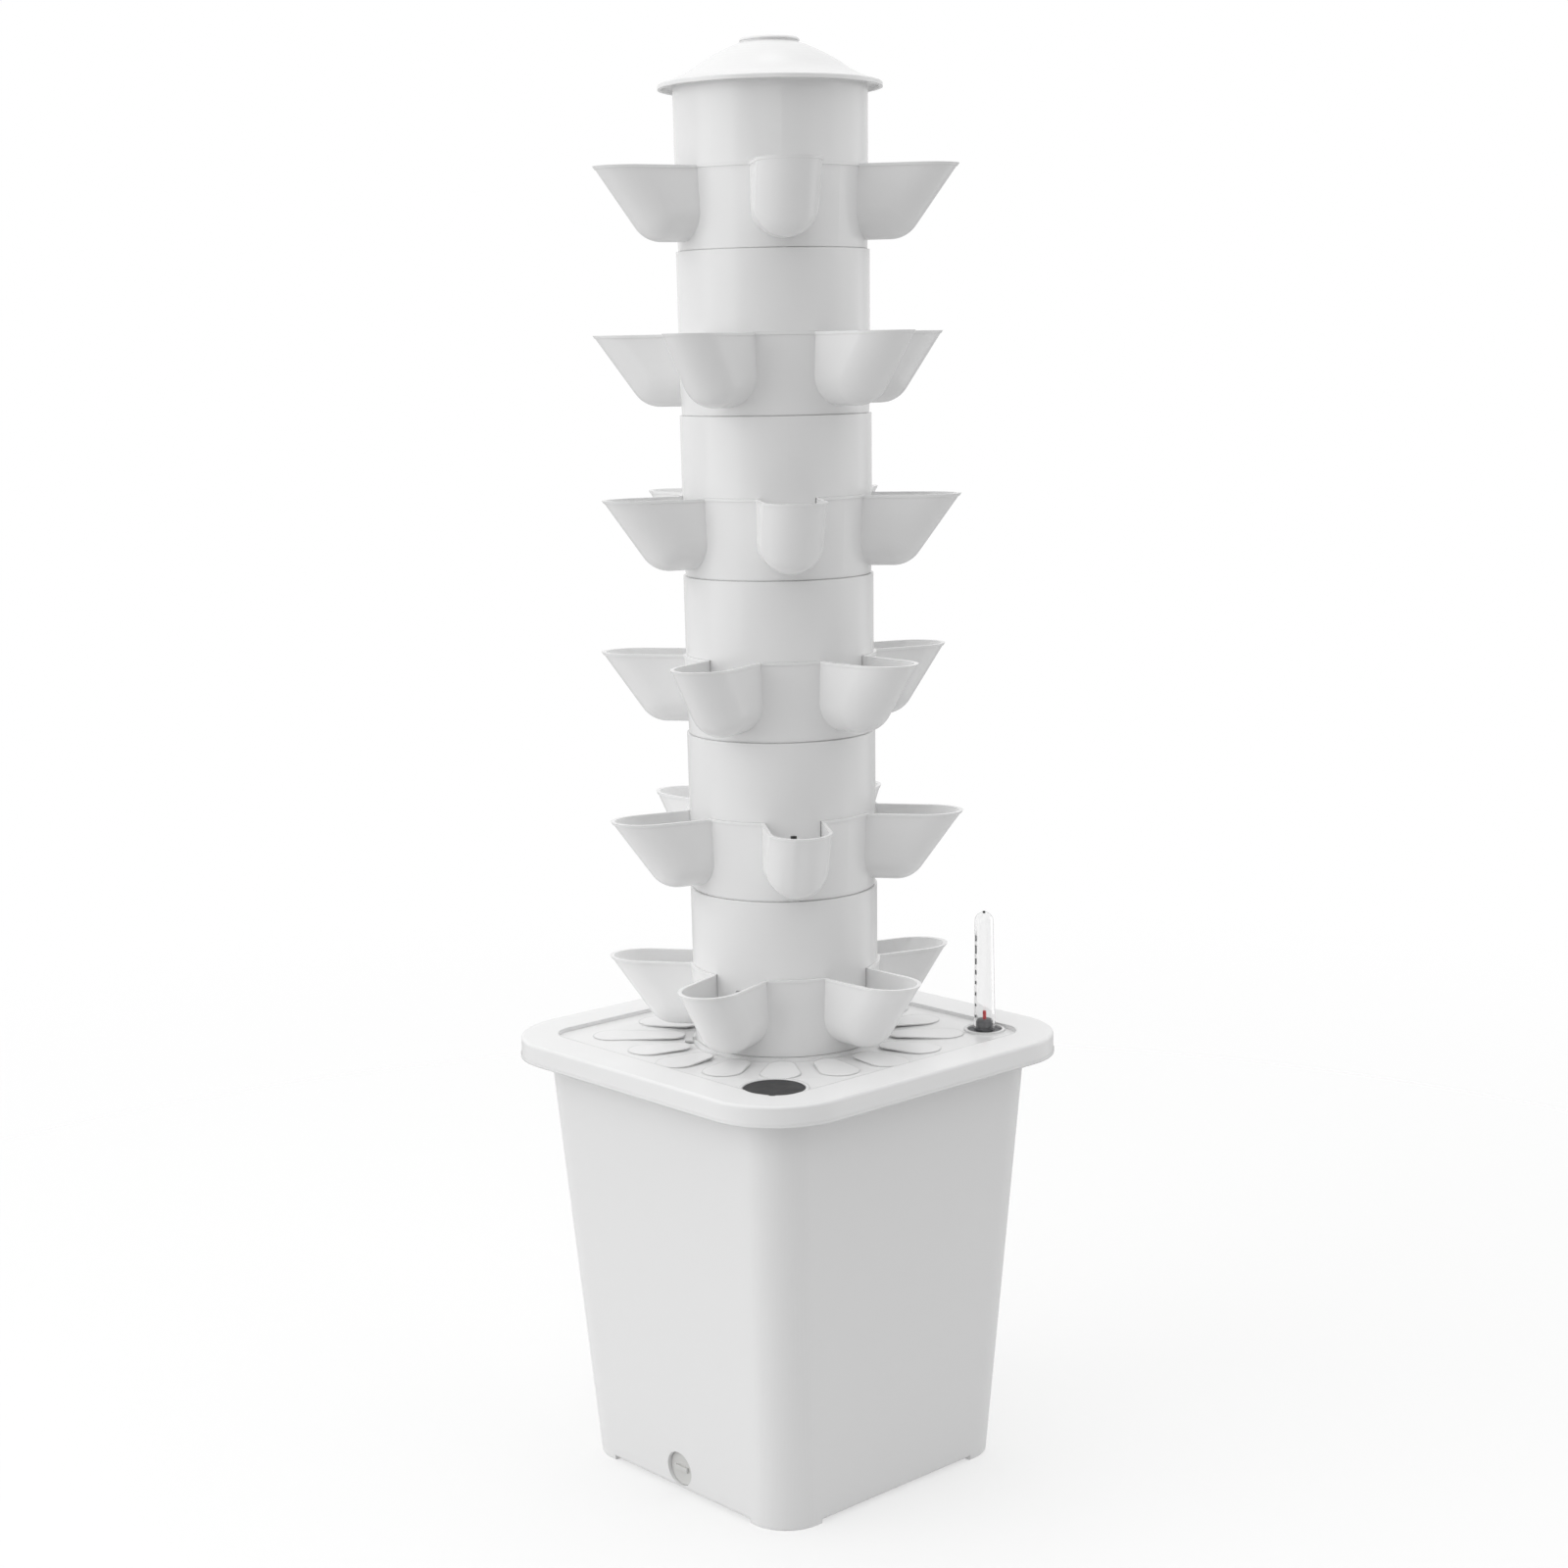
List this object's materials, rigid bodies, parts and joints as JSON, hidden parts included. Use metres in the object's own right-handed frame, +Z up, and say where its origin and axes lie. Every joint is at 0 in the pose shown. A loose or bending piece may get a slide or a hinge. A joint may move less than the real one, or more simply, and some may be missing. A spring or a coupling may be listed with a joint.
{
  "type": "vertical planter tower",
  "caption": "Column of stacked pocket rings on a square water tank with a lid, a level gauge, a filling cap and a circulating pump",
  "frame": {"origin": "centre of the tank's footprint on the ground", "axes": "+Z up along the column, -Y towards the face with the drain, +X to the right of that face"},
  "size_m": [0.26, 0.26, 0.86],
  "materials": {
    "white_plastic": "satin white",
    "tray_plastic": "satin pale grey",
    "cap_plastic": "matt dark grey",
    "grommet_rubber": "matt",
    "clear_plastic": "clear polished",
    "float_plastic": "foam white",
    "red_plastic": "gloss red",
    "pump_plastic": "matt black",
    "ceramic": "ground ceramic",
    "pipe_plastic": "satin grey"
  },
  "bodies": {
    "tank_body": {"tank": "white_plastic", "pump_housing": "pump_plastic", "pump_cover": "pump_plastic", "pump_outlet": "pump_plastic", "pump_shaft": "ceramic", "pump_feet": "grommet_rubber", "riser_base": "pipe_plastic"},
    "lid_body": {"tank_lid": "white_plastic"},
    "gauge_body": {"gauge_plug": "grommet_rubber", "gauge_cage": "tray_plastic"},
    "gauge_tube_body": {"gauge_tube": "clear_plastic"},
    "float_body": {"gauge_float": "float_plastic", "gauge_stem": "red_plastic"},
    "fill_cap_body": {"fill_cap": "cap_plastic"},
    "drain_plug_body": {"drain_plug": "tray_plastic", "drain_seal": "grommet_rubber"},
    "impeller_body": {"pump_impeller": "pump_plastic"},
    "ring_6_body": {"pocket_ring_6": "white_plastic", "riser_pipe_6": "pipe_plastic"},
    "tube_6_body": {"column_tube_6": "white_plastic"},
    "ring_5_body": {"pocket_ring_5": "white_plastic", "riser_pipe_5": "pipe_plastic"},
    "tube_5_body": {"column_tube_5": "white_plastic"},
    "ring_4_body": {"pocket_ring_4": "white_plastic", "riser_pipe_4": "pipe_plastic"},
    "tube_4_body": {"column_tube_4": "white_plastic"},
    "ring_3_body": {"pocket_ring_3": "white_plastic", "riser_pipe_3": "pipe_plastic"},
    "tube_3_body": {"column_tube_3": "white_plastic"},
    "ring_2_body": {"pocket_ring_2": "white_plastic", "riser_pipe_2": "pipe_plastic"},
    "tube_2_body": {"column_tube_2": "white_plastic"},
    "ring_1_body": {"pocket_ring_1": "white_plastic", "riser_pipe_1": "pipe_plastic"},
    "tube_1_body": {"column_tube_1": "white_plastic", "spreader_tray": "tray_plastic"},
    "dome_body": {"dome_lid": "white_plastic"},
    "crown_cap_body": {"crown_cap": "white_plastic"}
  },
  "joints": [
    {"name": "lid_lift", "type": "slide", "parent": "tank_body", "child": "lid_body", "axis": [0, 0, 1], "range_m": [0, 0.15]},
    {"name": "gauge_lift", "type": "slide", "parent": "lid_body", "child": "gauge_body", "axis": [0, 0, 1], "range_m": [0, 0.12]},
    {"name": "gauge_tube_lift", "type": "slide", "parent": "gauge_body", "child": "gauge_tube_body", "axis": [0, 0, 1], "range_m": [0, 0.08]},
    {"name": "float_rise", "type": "slide", "parent": "gauge_body", "child": "float_body", "axis": [0, 0, 1], "range_m": [0, 0.0475]},
    {"name": "fill_cap_lift", "type": "slide", "parent": "lid_body", "child": "fill_cap_body", "axis": [0, 0, 1], "range_m": [0, 0.03]},
    {"name": "drain_plug_pull", "type": "slide", "parent": "tank_body", "child": "drain_plug_body", "axis": [0, -1, 0], "range_m": [0, 0.03]},
    {"name": "impeller_spin", "type": "hinge", "parent": "tank_body", "child": "impeller_body", "pos_m": [0, 0, 0.0272], "axis": [0, 1, 0], "continuous": true},
    {"name": "ring_6_lift", "type": "slide", "parent": "lid_body", "child": "ring_6_body", "axis": [0, 0, 1], "range_m": [0, 0.06]},
    {"name": "tube_6_lift", "type": "slide", "parent": "ring_6_body", "child": "tube_6_body", "axis": [0, 0, 1], "range_m": [0, 0.11]},
    {"name": "ring_5_lift", "type": "slide", "parent": "tube_6_body", "child": "ring_5_body", "axis": [0, 0, 1], "range_m": [0, 0.06]},
    {"name": "tube_5_lift", "type": "slide", "parent": "ring_5_body", "child": "tube_5_body", "axis": [0, 0, 1], "range_m": [0, 0.11]},
    {"name": "ring_4_lift", "type": "slide", "parent": "tube_5_body", "child": "ring_4_body", "axis": [0, 0, 1], "range_m": [0, 0.06]},
    {"name": "tube_4_lift", "type": "slide", "parent": "ring_4_body", "child": "tube_4_body", "axis": [0, 0, 1], "range_m": [0, 0.11]},
    {"name": "ring_3_lift", "type": "slide", "parent": "tube_4_body", "child": "ring_3_body", "axis": [0, 0, 1], "range_m": [0, 0.06]},
    {"name": "tube_3_lift", "type": "slide", "parent": "ring_3_body", "child": "tube_3_body", "axis": [0, 0, 1], "range_m": [0, 0.11]},
    {"name": "ring_2_lift", "type": "slide", "parent": "tube_3_body", "child": "ring_2_body", "axis": [0, 0, 1], "range_m": [0, 0.06]},
    {"name": "tube_2_lift", "type": "slide", "parent": "ring_2_body", "child": "tube_2_body", "axis": [0, 0, 1], "range_m": [0, 0.11]},
    {"name": "ring_1_lift", "type": "slide", "parent": "tube_2_body", "child": "ring_1_body", "axis": [0, 0, 1], "range_m": [0, 0.06]},
    {"name": "tube_1_lift", "type": "slide", "parent": "ring_1_body", "child": "tube_1_body", "axis": [0, 0, 1], "range_m": [0, 0.11]},
    {"name": "dome_lift", "type": "slide", "parent": "tube_1_body", "child": "dome_body", "axis": [0, 0, 1], "range_m": [0, 0.05]},
    {"name": "crown_cap_lift", "type": "slide", "parent": "dome_body", "child": "crown_cap_body", "axis": [0, 0, 1], "range_m": [0, 0.03]}
  ]
}
